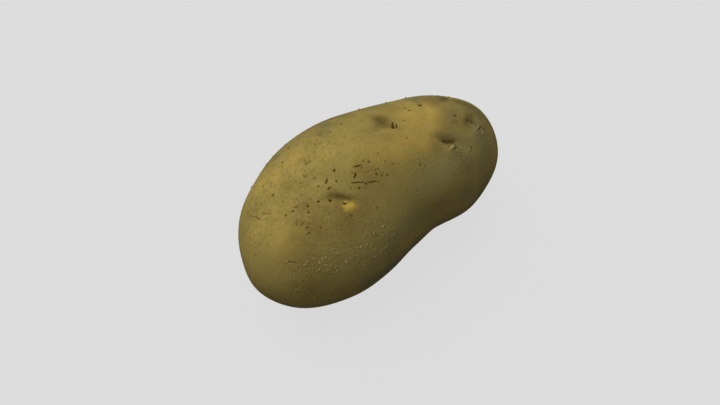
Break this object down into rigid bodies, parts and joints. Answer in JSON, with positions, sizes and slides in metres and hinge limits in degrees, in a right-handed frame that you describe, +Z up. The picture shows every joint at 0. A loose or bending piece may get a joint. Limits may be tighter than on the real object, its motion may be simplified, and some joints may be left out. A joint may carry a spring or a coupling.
{
  "type": "potato",
  "caption": "Whole raw potato with thin yellow-brown skin: a long, slightly bent tuber with sunken eyes, resting on its flattest side.",
  "frame": {"origin": "centre of the bounding box, at the height of the flat that the potato lies on", "axes": "+X along the potato towards the rose end, where the eyes crowd together; +Z up; the hollow side of the bend faces -Y"},
  "size_m": [0.109, 0.0584, 0.0509],
  "materials": {
    "potato_skin": "thin, matte, washed potato skin with a faint waxy sheen, yellow-brown with green-grey patches"
  },
  "bodies": {
    "root": {"potato": "potato_skin"}
  },
  "joints": []
}
